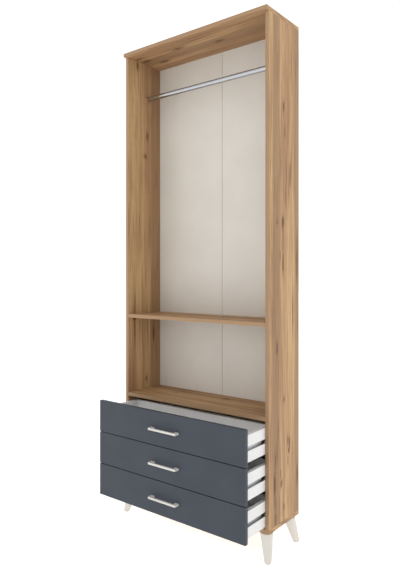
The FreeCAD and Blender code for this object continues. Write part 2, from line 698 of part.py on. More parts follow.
SHEET_EDGE = f"({INNER} + back_groove - groove_play)"
SHEET_LOW = f"{FLOOR} - back_groove + groove_play"
SHEET_HEIGHT = f"{SIDE_HEIGHT} + 2 * (back_groove - groove_play)"
keep(box("back_panel_left", (f"-{SHEET_EDGE}", BACK_FACE, SHEET_LOW),
         (f"{SHEET_EDGE} + seam_offset - seam_gap / 2", "back_sheet", SHEET_HEIGHT)))
keep(box("back_panel_right", ("seam_offset + seam_gap / 2", BACK_FACE, SHEET_LOW),
         (f"{SHEET_EDGE} - seam_offset - seam_gap / 2", "back_sheet", SHEET_HEIGHT)))
keep(box("back_joint_strip", ("seam_offset - strip_width / 2", f"{BACK_FACE} + back_sheet", FLOOR),
         ("strip_width", "strip_thickness", SIDE_HEIGHT)))

doc.recompute()

# Nothing is written unless every object was made and every piece is a sound shape

failed = [thing.Label for thing in doc.Objects if "Invalid" in thing.State or "Error" in thing.State]
unsound = [piece.Label for piece in pieces if piece.Shape.isNull() or not piece.Shape.isValid()]
if failed or unsound:
    raise RuntimeError(f"not made: {failed}, unsound: {unsound}")

os.makedirs("parts", exist_ok=True)
for piece in pieces:
    piece.Shape.exportStep(f"parts/{piece.Label}.step")
    print(f"{piece.Label}: {len(piece.Shape.Solids)} solids, {piece.Shape.Volume:.0f} cubic mm")
print(f"{len(pieces)} pieces")
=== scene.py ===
import json
import math

import bmesh
import bpy
from mathutils import Matrix, Vector


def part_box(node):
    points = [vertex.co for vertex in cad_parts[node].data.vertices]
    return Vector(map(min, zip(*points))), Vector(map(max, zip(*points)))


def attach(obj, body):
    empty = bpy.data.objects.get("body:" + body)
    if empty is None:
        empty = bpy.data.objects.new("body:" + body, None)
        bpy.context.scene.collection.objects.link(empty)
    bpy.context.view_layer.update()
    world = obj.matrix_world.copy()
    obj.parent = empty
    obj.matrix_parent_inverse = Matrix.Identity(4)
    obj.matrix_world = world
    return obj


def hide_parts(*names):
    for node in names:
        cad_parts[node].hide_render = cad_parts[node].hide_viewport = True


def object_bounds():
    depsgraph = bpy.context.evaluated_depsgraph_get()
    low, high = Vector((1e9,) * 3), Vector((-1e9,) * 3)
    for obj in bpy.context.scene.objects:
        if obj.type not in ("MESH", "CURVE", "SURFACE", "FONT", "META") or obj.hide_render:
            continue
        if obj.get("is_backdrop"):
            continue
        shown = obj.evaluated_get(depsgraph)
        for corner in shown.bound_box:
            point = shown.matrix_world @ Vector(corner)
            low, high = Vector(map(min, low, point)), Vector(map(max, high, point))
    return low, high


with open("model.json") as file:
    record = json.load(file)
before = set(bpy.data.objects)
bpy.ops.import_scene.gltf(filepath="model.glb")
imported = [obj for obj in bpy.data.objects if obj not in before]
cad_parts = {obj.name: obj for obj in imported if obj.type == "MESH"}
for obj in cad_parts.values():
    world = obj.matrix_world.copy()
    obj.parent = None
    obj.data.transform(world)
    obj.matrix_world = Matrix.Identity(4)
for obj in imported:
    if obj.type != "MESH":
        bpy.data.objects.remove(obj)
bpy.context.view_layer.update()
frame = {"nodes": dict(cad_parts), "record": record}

# Photograph and camera: the frame in pixels, the place in metres from the wardrobe's front and middle

IMAGE_HEIGHT = 570
FOCAL_PIXELS = 552.13
HORIZON_ROW = 274.07
SENSOR_LONG_SIDE = 36.0
CAMERA_ASIDE = 1.4628
CAMERA_DISTANCE = 1.8009
CAMERA_HEIGHT = 1.0938
CAMERA_YAW = math.radians(38.06)

# Curve by which a screen shows its tones

BRIGHTEST = 255
TOE_END = 0.04045
TOE_SLOPE = 12.92
CURVE_OFFSET = 0.055
CURVE_POWER = 2.4

# Kinds of inputs and outputs of node trees

NUMBER = "NodeSocketFloat"
COUNT = "NodeSocketInt"
VECTOR = "NodeSocketVector"
COLOR = "NodeSocketColor"
GEOMETRY = "NodeSocketGeometry"

nodes = frame["nodes"]
slots = {row["node"]: row["material_slot"] for row in frame["record"]["subparts"]}
DRAWERS = ("upper_drawer", "middle_drawer", "lower_drawer")
front_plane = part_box("side_panel_right")[0].y


def tone(red, green, blue):
    """Linear colour from the 0 to 255 values that a screen shows."""
    linear = []
    for value in (red, green, blue):
        share = value / BRIGHTEST
        if share <= TOE_END:
            linear.append(share / TOE_SLOPE)
        else:
            linear.append(((share + CURVE_OFFSET) / (1.0 + CURVE_OFFSET)) ** CURVE_POWER)
    return (*linear, 1.0)


# Node trees in few words

def add_node(tree, kind, inputs=None, **settings):
    """A node with its settings made and each named input linked or set."""
    node = tree.nodes.new(kind)
    for name, value in settings.items():
        setattr(node, name, value)
    for name, value in (inputs or {}).items():
        if isinstance(value, bpy.types.NodeSocket):
            tree.links.new(value, node.inputs[name])
        else:
            node.inputs[name].default_value = value
    return node


def calc(tree, operation, *values):
    """Result of a sum on numbers or sockets."""
    return add_node(tree, "ShaderNodeMath", dict(enumerate(values)), operation=operation).outputs[0]


def eased_range(tree, value, low, high, start=0.0, end=1.0):
    """Value brought from one range to another with soft ends."""
    inputs = {"Value": value, "From Min": low, "From Max": high, "To Min": start, "To Max": end}
    return add_node(tree, "ShaderNodeMapRange", inputs, interpolation_type="SMOOTHSTEP").outputs[0]


def plain_range(tree, value, start, end):
    """Share from 0 to 1 brought to a range."""
    return add_node(tree, "ShaderNodeMapRange", {"Value": value, "To Min": start, "To Max": end}).outputs[0]


def mixed(tree, share, first, second):
    """Two colours mixed by a share."""
    return add_node(tree, "ShaderNodeMix", {0: share, 6: first, 7: second}, data_type="RGBA").outputs[2]


def spaced(tree, x=0.0, y=0.0, z=0.0):
    """A vector from three numbers or sockets."""
    return add_node(tree, "ShaderNodeCombineXYZ", {"X": x, "Y": y, "Z": z}).outputs[0]


def split(tree, vector):
    """The three numbers of a vector."""
    return add_node(tree, "ShaderNodeSeparateXYZ", {0: vector}).outputs


def clouds(tree, vector, scale=1.0, detail=2.0, roughness=0.5):
    """Soft noise from 0 to 1."""
    inputs = {"Vector": vector, "Scale": scale, "Detail": detail, "Roughness": roughness}
    return add_node(tree, "ShaderNodeTexNoise", inputs).outputs[0]


def ramp(tree, share, stops):
    """Colour that runs through the given stops."""
    node = add_node(tree, "ShaderNodeValToRGB", {0: share})
    elements = node.color_ramp.elements
    while len(elements) < len(stops):
        elements.new(1.0)
    for element, (position, color) in zip(elements, stops):
        element.position = position
        element.color = color
    return node.outputs[0]


def add_inputs(tree, inputs):
    """Named inputs of a tree, each with its kind and its usual value."""
    for name, (kind, value) in inputs.items():
        socket = tree.interface.new_socket(name, in_out="INPUT", socket_type=kind)
        if value is not None:
            socket.default_value = value


def new_group(name, inputs, outputs):
    """A shader group with named sockets, and its two end nodes."""
    group = bpy.data.node_groups.new(name, "ShaderNodeTree")
    add_inputs(group, inputs)
    for socket_name, kind in outputs.items():
        group.interface.new_socket(socket_name, in_out="OUTPUT", socket_type=kind)
    return group, group.nodes.new("NodeGroupInput").outputs, group.nodes.new("NodeGroupOutput").inputs


def use_group(tree, group, inputs):
    """A group placed in a material."""
    return add_node(tree, "ShaderNodeGroup", inputs, node_tree=group).outputs


def new_material(name, shader_values):
    """A material with one shader, whose even values are set on its own sockets."""
    material = bpy.data.materials.new(name)
    material.use_nodes = True
    tree = material.node_tree
    shader = tree.nodes["Principled BSDF"]
    for socket, value in shader_values.items():
        shader.inputs[socket].default_value = value
    return material, tree, shader


def object_place(tree):
    """Place on a piece, in the wardrobe's frame."""
    return add_node(tree, "ShaderNodeTexCoord").outputs["Object"]


def bumped(tree, shader, height, strength, distance):
    """Fine relief on a shader."""
    bump = add_node(tree, "ShaderNodeBump", {"Height": height, "Strength": strength, "Distance": distance})
    tree.links.new(bump.outputs[0], shader.inputs["Normal"])


# Knotty oak decor: X runs across the face, Y through the board and Z along the grain

OAK_KNOT = tone(88, 58, 36)
OAK_STREAK = tone(120, 86, 57)
OAK_HEART = tone(146, 115, 85)
# Front edge tone: the edge band's colour, darkened as painted shade for the dimmer light on the front edges
OAK_EDGE_BAND_SHADE = tone(157, 127, 97)
OAK_BANDS = (
    (0.0, tone(154, 118, 86)),
    (0.35, tone(172, 136, 99)),
    (0.65, tone(185, 150, 108)),
    (1.0, tone(199, 166, 121)),
)
OAK_GLOSS = 0.3
OAK_ROUGHNESS = (0.66, 0.5)

# Noises of the oak: how tightly each lies across and along the grain, per metre

KNOT_FRAY = (110.0, 34.0)
HEART_SWAY = (5.0, 1.6)
HEART_FRAY = (90.0, 0.9)
SLOW_WAVE = (5.0, 1.3)
QUICK_WAVE = (30.0, 6.0)
BROAD_BANDS = (11.0, 0.6)
MIDDLE_BANDS = (42.0, 1.4)
FINE_LINES = (230.0, 4.0)
PORES = (1000.0, 24.0)
STREAKS = (62.0, 2.6)
THREADS = (130.0, 4.0)
STREAK_SEED = 7.0
THREAD_SEED = 3.0
FINE_LINE_ROUGHNESS = 0.6
NOISE_MIDDLE = 0.5

# How far the waves, knots and heartwood reach, in metres or as shares of their size

SLOW_WAVE_REACH = 0.05
QUICK_WAVE_REACH = 0.009
KNOT_RAGGEDNESS = 1.2
KNOT_FADE = (1.2, 0.5)
KNOT_PUSH = -0.75
HALO_REACH = 2.4
HALO_FADE = (1.0, 0.1)
HEART_SWAY_REACH = 0.03
HEART_RAGGEDNESS = 1.1
HEART_FADE = (1.25, 0.75)
EDGE_STRETCH = 3.0
# Reach and share of the front edge's darker tone, partly edge band and partly painted shade
EDGE_FADE = (0.0012, 0.0006)
EDGE_BAND_SHADE_SHARE = 0.8
GRAIN_SLOWING = 2.7

# Shares of the noises in the bands, and how the fine lines break up the heartwood, halos and knots

BROAD_SHARE = 0.4
MIDDLE_SHARE = 0.35
FINE_SHARE = 0.25
BAND_SPAN = (0.355, 0.625)
HEART_BREAKS = (0.55, 1.0)
HALO_BREAKS = (0.9, 0.15)
KNOT_BREAKS = (1.0, 0.55)

# Dark marks: the noise at which they start, the noise at which they are full, and their strength

STREAK_MARKS = (0.44, 0.26, 0.6)
THREAD_MARKS = (0.44, 0.26, 0.58)
FINE_MARKS = (0.46, 0.28, 0.48)
PORE_MARKS = (0.42, 0.28, 0.38)
PORE_SPAN = (0.25, 0.45)
PORE_RELIEF = 0.25
PORE_DEPTH = 0.0003


def stretched_clouds(tree, across, along, tightness, seed=0.0, **settings):
    """Noise drawn out along the grain."""
    across_scale, along_scale = tightness
    vector = spaced(tree, calc(tree, "MULTIPLY", across, across_scale),
                    calc(tree, "MULTIPLY", along, along_scale), seed)
    return clouds(tree, vector, **settings)


def swing(tree, across, along, tightness, detail):
    """Noise drawn out along the grain, to both sides of zero."""
    noise = stretched_clouds(tree, across, along, tightness, detail=detail)
    return calc(tree, "SUBTRACT", noise, NOISE_MIDDLE)


def make_oak_knot():
    """One thin knot with a dark core, wisps along the grain and grain pushed aside."""
    group, source, result = new_group(
        "oak_knot",
        {"Place": (VECTOR, None), "Across": (NUMBER, 0.0), "Along": (NUMBER, 0.0),
         "Half Width": (NUMBER, 0.005), "Half Length": (NUMBER, 0.03), "Strength": (NUMBER, 1.0)},
        {"Core": NUMBER, "Halo": NUMBER, "Push": NUMBER})
    place = split(group, source["Place"])
    wobble = swing(group, place["X"], place["Z"], KNOT_FRAY, detail=3.0)
    aside = calc(group, "MULTIPLY_ADD", wobble, source["Half Width"],
                 calc(group, "SUBTRACT", place["X"], source["Across"]))
    wide = calc(group, "DIVIDE", aside, source["Half Width"])
    long = calc(group, "DIVIDE", calc(group, "SUBTRACT", place["Z"], source["Along"]), source["Half Length"])
    near = calc(group, "SQRT", calc(group, "MULTIPLY_ADD", wide, wide, calc(group, "MULTIPLY", long, long)))
    ragged = calc(group, "MULTIPLY_ADD", wobble, KNOT_RAGGEDNESS, near)
    core = eased_range(group, ragged, *KNOT_FADE)
    halo = eased_range(group, calc(group, "DIVIDE", near, HALO_REACH), *HALO_FADE)
    push = calc(group, "MULTIPLY", calc(group, "MULTIPLY", aside, KNOT_PUSH), halo)
    group.links.new(calc(group, "MULTIPLY", core, source["Strength"]), result["Core"])
    group.links.new(calc(group, "MULTIPLY", halo, source["Strength"]), result["Halo"])
    group.links.new(push, result["Push"])
    return group


def make_oak_heart():
    """One long band of heartwood with a streaky border."""
    group, source, result = new_group(
        "oak_heart",
        {"Place": (VECTOR, None), "Middle": (NUMBER, 0.05), "Half Width": (NUMBER, 0.03)},
        {"Heart": NUMBER})
    place = split(group, source["Place"])
    level = calc(group, "MULTIPLY_ADD", place["Y"], EDGE_STRETCH, place["X"])
    sway = swing(group, level, place["Z"], HEART_SWAY, detail=2.0)
    border = swing(group, level, place["Z"], HEART_FRAY, detail=3.0)
    off_middle = calc(group, "ABSOLUTE", calc(group, "MULTIPLY_ADD", sway, HEART_SWAY_REACH,
                                              calc(group, "SUBTRACT", level, source["Middle"])))
    depth = calc(group, "MULTIPLY_ADD", border, HEART_RAGGEDNESS,
                 calc(group, "DIVIDE", off_middle, source["Half Width"]))
    group.links.new(eased_range(group, depth, *HEART_FADE), result["Heart"])
    return group


def make_oak_figure():
    """Long bands, streaks and pores of oak, with room for heartwood and knots."""
    group, source, result = new_group(
        "oak_figure",
        {"Place": (VECTOR, None), "Shift": (NUMBER, 0.0), "Heart": (NUMBER, 0.0), "Core": (NUMBER, 0.0),
         "Halo": (NUMBER, 0.0), "Push": (NUMBER, 0.0)},
        {"Color": COLOR, "Roughness": NUMBER, "Height": NUMBER})
    place = split(group, source["Place"])
    level = calc(group, "MULTIPLY_ADD", place["Y"], EDGE_STRETCH, place["X"])
    across = calc(group, "ADD", level, source["Shift"])
    along = calc(group, "MULTIPLY_ADD", source["Shift"], GRAIN_SLOWING, place["Z"])

    # The grain waves slowly and flows round the knots
    slow = swing(group, across, along, SLOW_WAVE, detail=1.0)
    quick = swing(group, across, along, QUICK_WAVE, detail=1.0)
    wave = calc(group, "MULTIPLY_ADD", slow, SLOW_WAVE_REACH,
                calc(group, "MULTIPLY", quick, QUICK_WAVE_REACH))
    bent = calc(group, "ADD", calc(group, "ADD", across, source["Push"]), wave)

    # Bands, streaks and pores
    broad = stretched_clouds(group, bent, along, BROAD_BANDS, detail=1.0)
    middle = stretched_clouds(group, bent, along, MIDDLE_BANDS, detail=3.0)
    fine = stretched_clouds(group, bent, along, FINE_LINES, detail=3.0, roughness=FINE_LINE_ROUGHNESS)
    pores = stretched_clouds(group, bent, along, PORES)
    streak = stretched_clouds(group, bent, along, STREAKS, STREAK_SEED)
    thread = stretched_clouds(group, bent, along, THREADS, THREAD_SEED)

    # Tones, from the bands to the knots and the banded front edge, whose darker tone is partly edge band and
    # partly painted shade for the dimmer light on the front edges
    share = calc(group, "MULTIPLY", fine, FINE_SHARE)
    share = calc(group, "MULTIPLY_ADD", middle, MIDDLE_SHARE, share)
    share = calc(group, "MULTIPLY_ADD", broad, BROAD_SHARE, share)
    color = ramp(group, eased_range(group, share, *BAND_SPAN), OAK_BANDS)
    heart = calc(group, "MULTIPLY", source["Heart"], plain_range(group, fine, *HEART_BREAKS))
    color = mixed(group, heart, color, OAK_HEART)
    for noise, (start, end, strength) in ((streak, STREAK_MARKS), (thread, THREAD_MARKS),
                                          (fine, FINE_MARKS), (pores, PORE_MARKS)):
        dark = calc(group, "MULTIPLY", eased_range(group, noise, start, end), strength)
        color = mixed(group, dark, color, OAK_STREAK)
    halo = calc(group, "MULTIPLY", source["Halo"], plain_range(group, fine, *HALO_BREAKS))
    color = mixed(group, halo, color, OAK_STREAK)
    core = calc(group, "MULTIPLY", source["Core"], plain_range(group, fine, *KNOT_BREAKS))
    color = mixed(group, core, color, OAK_KNOT)
    # Front edge: edge band tone mixed with painted shade
    band = calc(group, "MULTIPLY", eased_range(group, place["X"], *EDGE_FADE), EDGE_BAND_SHADE_SHARE)
    group.links.new(mixed(group, band, color, OAK_EDGE_BAND_SHADE), result["Color"])
    group.links.new(plain_range(group, fine, *OAK_ROUGHNESS), result["Roughness"])
    relief = calc(group, "SUBTRACT", eased_range(group, pores, *PORE_SPAN), source["Core"])
    group.links.new(relief, result["Height"])
    return group


def make_oak(name, groups, turn, start, shift, hearts, knots):
    """Oak decor for one board, with its own stretch of the figure, heartwood and knots."""
    material, tree, shader = new_material(name, {"Specular IOR Level": OAK_GLOSS})
    turned = add_node(tree, "ShaderNodeMapping", {"Vector": object_place(tree), "Rotation": turn.to_euler(),
                                                  "Location": start}).outputs[0]
    marks = []
    for middle, half_width in hearts:
        marks.append(use_group(tree, groups["heart"], {"Place": turned, "Middle": middle,
                                                       "Half Width": half_width}))
    for across, along, half_width, half_length, strength in knots:
        marks.append(use_group(tree, groups["knot"], {"Place": turned, "Across": across, "Along": along,
                                                      "Half Width": half_width, "Half Length": half_length,
                                                      "Strength": strength}))
    inputs = {"Place": turned, "Shift": shift}
    for mark in marks:
        for socket in mark:
            before = inputs.get(socket.name)
            operation = "ADD" if socket.name == "Push" else "MAXIMUM"
            inputs[socket.name] = calc(tree, operation, before, socket) if before else socket
    look = use_group(tree, groups["figure"], inputs)
    tree.links.new(look["Color"], shader.inputs["Base Color"])
    tree.links.new(look["Roughness"], shader.inputs["Roughness"])
    bumped(tree, shader, look["Height"], PORE_RELIEF, PORE_DEPTH)
    return material


# Even finishes: coated boards, paint, plastic and metal

MOTTLE_BROAD_SCALE = 6.0
MOTTLE_FINE_SCALE = 900.0
MOTTLE_SPAN = (0.3, 0.7)
MOTTLE_BROAD_SHARE = 0.6
MOTTLE_FINE_SHARE = 0.4
RELIEF_STRENGTH = 0.3


def make_mottle():
    """Slow and fine unevenness of a surface that looks even from afar."""
    group, source, result = new_group(
        "surface_mottle",
        {"Place": (VECTOR, None), "Broad Scale": (NUMBER, MOTTLE_BROAD_SCALE),
         "Fine Scale": (NUMBER, MOTTLE_FINE_SCALE)},
        {"Broad": NUMBER, "Fine": NUMBER})
    broad = clouds(group, source["Place"], source["Broad Scale"], detail=3.0)
    fine = clouds(group, source["Place"], source["Fine Scale"], detail=2.0)
    group.links.new(eased_range(group, broad, *MOTTLE_SPAN), result["Broad"])
    group.links.new(fine, result["Fine"])
    return group


mottle = make_mottle()


def make_even_finish(name, low, high, roughness, relief, broad_scale=MOTTLE_BROAD_SCALE,
                     fine_scale=MOTTLE_FINE_SCALE, stretch=(1.0, 1.0, 1.0), **shader_values):
    """A finish between two close tones, with fine relief."""
    material, tree, shader = new_material(name, shader_values)
    place = add_node(tree, "ShaderNodeMapping", {"Vector": object_place(tree), "Scale": stretch}).outputs[0]
    look = use_group(tree, mottle, {"Place": place, "Broad Scale": broad_scale, "Fine Scale": fine_scale})
    share = calc(tree, "MULTIPLY_ADD", look["Fine"], MOTTLE_FINE_SHARE,
                 calc(tree, "MULTIPLY", look["Broad"], MOTTLE_BROAD_SHARE))
    tree.links.new(mixed(tree, share, tone(*low), tone(*high)), shader.inputs["Base Color"])
    tree.links.new(plain_range(tree, look["Fine"], *roughness), shader.inputs["Roughness"])
    bumped(tree, shader, look["Fine"], RELIEF_STRENGTH, relief)
    return material


# The finish of each slot: its darker and lighter tone, its roughness and its relief in metres

FINISHES = {
    "back_sheet": make_even_finish("warm_grey_sheet", (206, 201, 192), (213, 208, 199), (0.5, 0.62), 0.00008),
    "back_strip": make_even_finish("warm_grey_strip", (188, 181, 171), (197, 190, 181), (0.5, 0.6), 0.00008),
    "graphite_board": make_even_finish("graphite_coating", (58, 63, 72), (64, 69, 78), (0.5, 0.64), 0.00008,
                                       **{"Specular IOR Level": 0.3}),
    "white_board": make_even_finish("white_coating", (240, 240, 239), (247, 247, 246), (0.42, 0.56), 0.00006),
    "leg_white": make_even_finish("ivory_lacquer", (206, 202, 193), (215, 211, 203), (0.3, 0.42), 0.00005,
                                  fine_scale=500.0),
    "handle_white": make_even_finish("ivory_paint", (207, 204, 197), (216, 213, 206), (0.28, 0.4), 0.00004,
                                     fine_scale=700.0),
    "glide_plastic": make_even_finish("pale_plastic", (178, 176, 170), (192, 190, 185), (0.45, 0.6), 0.0001),
    "rail_chrome": make_even_finish("polished_chrome", (172, 175, 180), (186, 188, 192), (0.12, 0.22),
                                    0.00002, broad_scale=30.0, stretch=(0.03, 1.0, 1.0), Metallic=1.0),
    "brown_plastic": make_even_finish("wood_brown_plastic", (160, 124, 91), (172, 136, 102), (0.45, 0.6),
                                      0.0001),
    "fastener_steel": make_even_finish("zinc_plate", (136, 134, 131), (162, 160, 157), (0.36, 0.52), 0.00004,
                                       broad_scale=120.0, Metallic=1.0),
    "runner_steel": make_even_finish("rolled_zinc", (160, 162, 165), (186, 188, 191), (0.28, 0.46), 0.00004,
                                     broad_scale=60.0, stretch=(1.0, 0.15, 1.0), Metallic=1.0),
    "cage_plastic": make_even_finish("black_plastic", (18, 18, 19), (30, 30, 31), (0.4, 0.58), 0.0001),
    "beech": make_even_finish("beech_wood", (196, 152, 110), (214, 172, 130), (0.55, 0.7), 0.0001,
                              broad_scale=80.0, stretch=(1.0, 1.0, 0.2)),
}
# Drawer box sides: a darker copy of the white board, painted shade that dims the sides where the light falls
# on them
box_side_painted_shade = make_even_finish("white_board_painted_shade", (218, 218, 217), (226, 226, 225), (0.42, 0.56), 0.00006)
# Shelf pins: steel tinted dark brown as painted shade, so they sink into the shade under the shelf
pin_painted_shade = make_even_finish("steel_tinted_as_painted_shade", (118, 92, 70), (136, 108, 84), (0.4, 0.55), 0.00004,
                              broad_scale=120.0, Metallic=1.0)


def dress(node, material):
    """Gives a CAD node one finish."""
    mesh = nodes[node].data
    mesh.materials.clear()
    mesh.materials.append(material)


for node, slot in slots.items():
    # The drawer sides take the darker copy of the white board as painted shade
    if "_drawer_side_" in node:
        dress(node, box_side_painted_shade)
    # Shelf pins take the dark tinted steel as painted shade
    elif node == "shelf_pins":
        dress(node, pin_painted_shade)
    elif slot in FINISHES:
        dress(node, FINISHES[slot])

# Oak boards: the stretch of decor, the heartwood and the knots, in metres.
# A band of heartwood is its distance from the front edge and its half width.
# A knot is its distance from the front edge, its place along the grain, its half width, its half length and
# its strength.

UPRIGHT_TURN = Matrix(((0, 1, 0), (-1, 0, 0), (0, 0, 1)))
LEVEL_TURN = Matrix(((0, 1, 0), (0, 0, 1), (1, 0, 0)))
UPRIGHT_BOARDS = {
    "side_panel_right": (1.37, ((0.056, 0.026), (0.222, 0.022)), (
        (0.061, 0.806, 0.006, 0.032, 1.0), (0.145, 0.432, 0.004, 0.026, 0.9),
        (0.158, 0.42, 0.0045, 0.026, 1.0), (0.151, 0.391, 0.005, 0.012, 1.0),
        (0.146, 0.352, 0.004, 0.02, 0.5), (0.043, 0.285, 0.008, 0.045, 1.0),
        (0.048, 0.375, 0.004, 0.035, 0.7), (0.0935, 0.274, 0.007, 0.017, 1.0),
        (0.09, 0.312, 0.004, 0.022, 0.7), (0.114, 0.179, 0.006, 0.012, 0.7),
        (0.045, 0.215, 0.004, 0.03, 0.8), (0.05, 0.15, 0.006, 0.03, 0.7),
        (0.069, 0.49, 0.003, 0.05, 0.8), (0.061, 0.392, 0.003, 0.04, 0.8),
        (0.222, 0.275, 0.006, 0.05, 0.9), (0.114, 0.601, 0.006, 0.013, 0.8),
        (0.106, 1.295, 0.008, 0.026, 1.0), (0.106, 1.225, 0.007, 0.07, 0.4),
        (0.107, 1.14, 0.006, 0.05, 0.85), (0.186, 0.94, 0.004, 0.1, 0.9),
        (0.218, 1.14, 0.006, 0.09, 0.6), (0.085, 1.165, 0.004, 0.02, 0.5),
        (0.135, 1.5, 0.004, 0.06, 0.4), (0.163, 1.49, 0.005, 0.05, 0.5),
        (0.062, 1.295, 0.006, 0.014, 0.5), (0.12, 1.655, 0.005, 0.025, 0.7),
        (0.111, 1.753, 0.006, 0.02, 0.9))),
    "side_panel_left": (2.62, ((0.185, 0.035),), (
        (0.06, 2.071, 0.0075, 0.022, 0.9), (0.1265, 1.753, 0.0075, 0.02, 0.9),
        (0.114, 1.655, 0.009, 0.012, 0.9), (0.043, 0.91, 0.0035, 0.12, 0.9),
        (0.17, 0.807, 0.007, 0.04, 0.9), (0.12, 0.597, 0.006, 0.014, 0.8),
        (0.05, 0.35, 0.0075, 0.026, 0.7))),
}
LEVEL_BOARDS = {
    "top_panel": ("under", 4.11, ((0.12, 0.03),), (
        (0.101, -0.333, 0.01, 0.022, 1.0), (0.151, -0.267, 0.009, 0.026, 0.9),
        (0.078, -0.12, 0.01, 0.03, 0.9), (0.059, -0.34, 0.006, 0.03, 0.8),
        (0.126, 0.07, 0.009, 0.025, 0.8))),
    "middle_shelf": ("over", 5.48, ((0.14, 0.03),), (
        (0.06, -0.12, 0.006, 0.022, 0.7), (0.11, 0.21, 0.0075, 0.025, 0.7))),
    "drawer_deck": ("over", 6.85, (), (
        (0.159, 0.071, 0.009, 0.018, 1.0), (0.13, -0.19, 0.006, 0.025, 0.6))),
    "bottom_panel": ("over", 8.22, ((0.1, 0.03),), (
        (0.1, 0.2, 0.0075, 0.025, 0.7),)),
}

oak_groups = {"heart": make_oak_heart(), "knot": make_oak_knot(), "figure": make_oak_figure()}
for board, (shift, hearts, knots) in UPRIGHT_BOARDS.items():
    low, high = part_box(board)
    start = (-low.y, high.x, 0.0)
    dress(board, make_oak(f"oak_{board}", oak_groups, UPRIGHT_TURN, start, shift, hearts, knots))
for board, (face, shift, hearts, knots) in LEVEL_BOARDS.items():
    low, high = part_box(board)
    start = (-low.y, -high.z if face == "over" else -low.z, 0.0)
    dress(board, make_oak(f"oak_{board}", oak_groups, LEVEL_TURN, start, shift, hearts, knots))

# Solids of a CAD node, read back as points

WELD = 1e-6
SAME_RADIUS = 1e-5
LEVEL_DIGITS = 5
RING_DIGITS = 6


def ends_of(points):
    """Lowest and highest corner of some points."""
    return Vector(map(min, zip(*points))), Vector(map(max, zip(*points)))


def solids_of(node):
    """Points of each separate solid in a CAD node, in a fixed order."""
    mesh = bmesh.new()
    mesh.from_mesh(nodes[node].data)
    bmesh.ops.remove_doubles(mesh, verts=mesh.verts, dist=WELD)
    left = set(mesh.verts)
    solids = []
    for start in mesh.verts:
        if start not in left:
            continue
        left.remove(start)
        waiting = [start]
        points = []
        while waiting:
            vert = waiting.pop()
            points.append(vert.co.copy())
            for edge in vert.link_edges:
                other = edge.other_vert(vert)
                if other in left:
                    left.remove(other)
                    waiting.append(other)
        solids.append(points)
    mesh.free()
    return solids


def levels_of(points, axis):
    """The heights at which a solid has corners along an axis."""
    return sorted({round(point[axis], LEVEL_DIGITS) for point in points})


# Geometry trees in few words

def new_tree(name, inputs):
    """A geometry tree with named inputs."""
    tree = bpy.data.node_groups.new(name, "GeometryNodeTree")
    add_inputs(tree, {"Geometry": (GEOMETRY, None), **inputs, "Material": ("NodeSocketMaterial", None)})
    tree.interface.new_socket("Geometry", in_out="OUTPUT", socket_type=GEOMETRY)
    return tree, tree.nodes.new("NodeGroupInput").outputs, tree.nodes.new("NodeGroupOutput").inputs[0]


def attribute(tree, name, kind="FLOAT"):
    """A value that each point carries."""
    node = add_node(tree, "GeometryNodeInputNamedAttribute", {"Name": name}, data_type=kind)
    return node.outputs["Attribute"]


def end_tree(tree, source, result, geometry):
    """Makes instances real and gives them the finish."""
    real = add_node(tree, "GeometryNodeRealizeInstances", {"Geometry": geometry})
    done = add_node(tree, "GeometryNodeSetMaterial", {"Geometry": real.outputs[0],
                                                      "Material": source["Material"]})
    tree.links.new(done.outputs[0], result)
    return tree


def grown(name, mesh, tree, values):
    """Plain mesh that a geometry tree makes from another mesh."""
    holder = bpy.data.objects.new(name, mesh)
    bpy.context.scene.collection.objects.link(holder)
    modifier = holder.modifiers.new(name, "NODES")
    modifier.node_group = tree
    for item in tree.interface.items_tree:
        if item.in_out == "INPUT" and item.name in values:
            modifier[item.identifier] = values[item.name]
    evaluated = holder.evaluated_get(bpy.context.evaluated_depsgraph_get())
    made = bpy.data.meshes.new_from_object(evaluated)
    bpy.data.objects.remove(holder)
    made.name = name
    return made


def add_piece(name, mesh, body, slot, *replaced):
    """A finished piece on its body, in place of CAD nodes."""
    piece = bpy.data.objects.new(name, mesh)
    bpy.context.scene.collection.objects.link(piece)
    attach(piece, body)
    if replaced:
        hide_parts(*replaced)


# Screws and cams with a cross recess, in units of their own radius and length

SCREW_SIZES = ("head_radius", "head_height", "shank_radius", "length")
STEPLESS_HEAD_PARTS = 6
HEAD_SIDES = 20
SHANK_SIDES = 10
ROWS_PER_RING = 2.0
POINT_START = -0.82
POINT_WIDTH = 0.25


def read_screws(node):
    """Head face, outward direction and sizes of each screw in a CAD node."""
    screws = []
    for points in solids_of(node):
        low, high = ends_of(points)
        size = high - low
        axis = min(range(3), key=lambda number: abs(size[number - 1] - size[number - 2]))
        face = (low + high) / 2
        radii = {}
        for point in points:
            arm = point - face
            arm[axis] = 0.0
            level = round(point[axis], RING_DIGITS)
            radii[level] = max(radii.get(level, 0.0), arm.length)
        levels = sorted(radii)
        sign = -1.0
        if radii[levels[-1]] > radii[levels[0]] + SAME_RADIUS:
            sign = 1.0
            levels.reverse()
        outward = Vector((0.0, 0.0, 0.0))
        outward[axis] = sign
        face[axis] = levels[0]
        length = abs(levels[-1] - levels[0])
        head_height = abs(levels[1] - levels[0]) if len(levels) > 2 else length / STEPLESS_HEAD_PARTS
        screws.append((face, outward, (radii[levels[0]], head_height, radii[levels[-1]], length)))
    return screws


def screw_points(name, screws):
    """One point for each screw, with its sizes as attributes."""
    mesh = bpy.data.meshes.new(name)
    mesh.from_pydata([face for face, _, _ in screws], [], [])
    outward = mesh.attributes.new("outward", "FLOAT_VECTOR", "POINT")
    outward.data.foreach_set("vector", [value for _, way, _ in screws for value in way])
    for number, size_name in enumerate(SCREW_SIZES):
        sizes = mesh.attributes.new(size_name, "FLOAT", "POINT")
        sizes.data.foreach_set("value", [values[number] for _, _, values in screws])
    return mesh


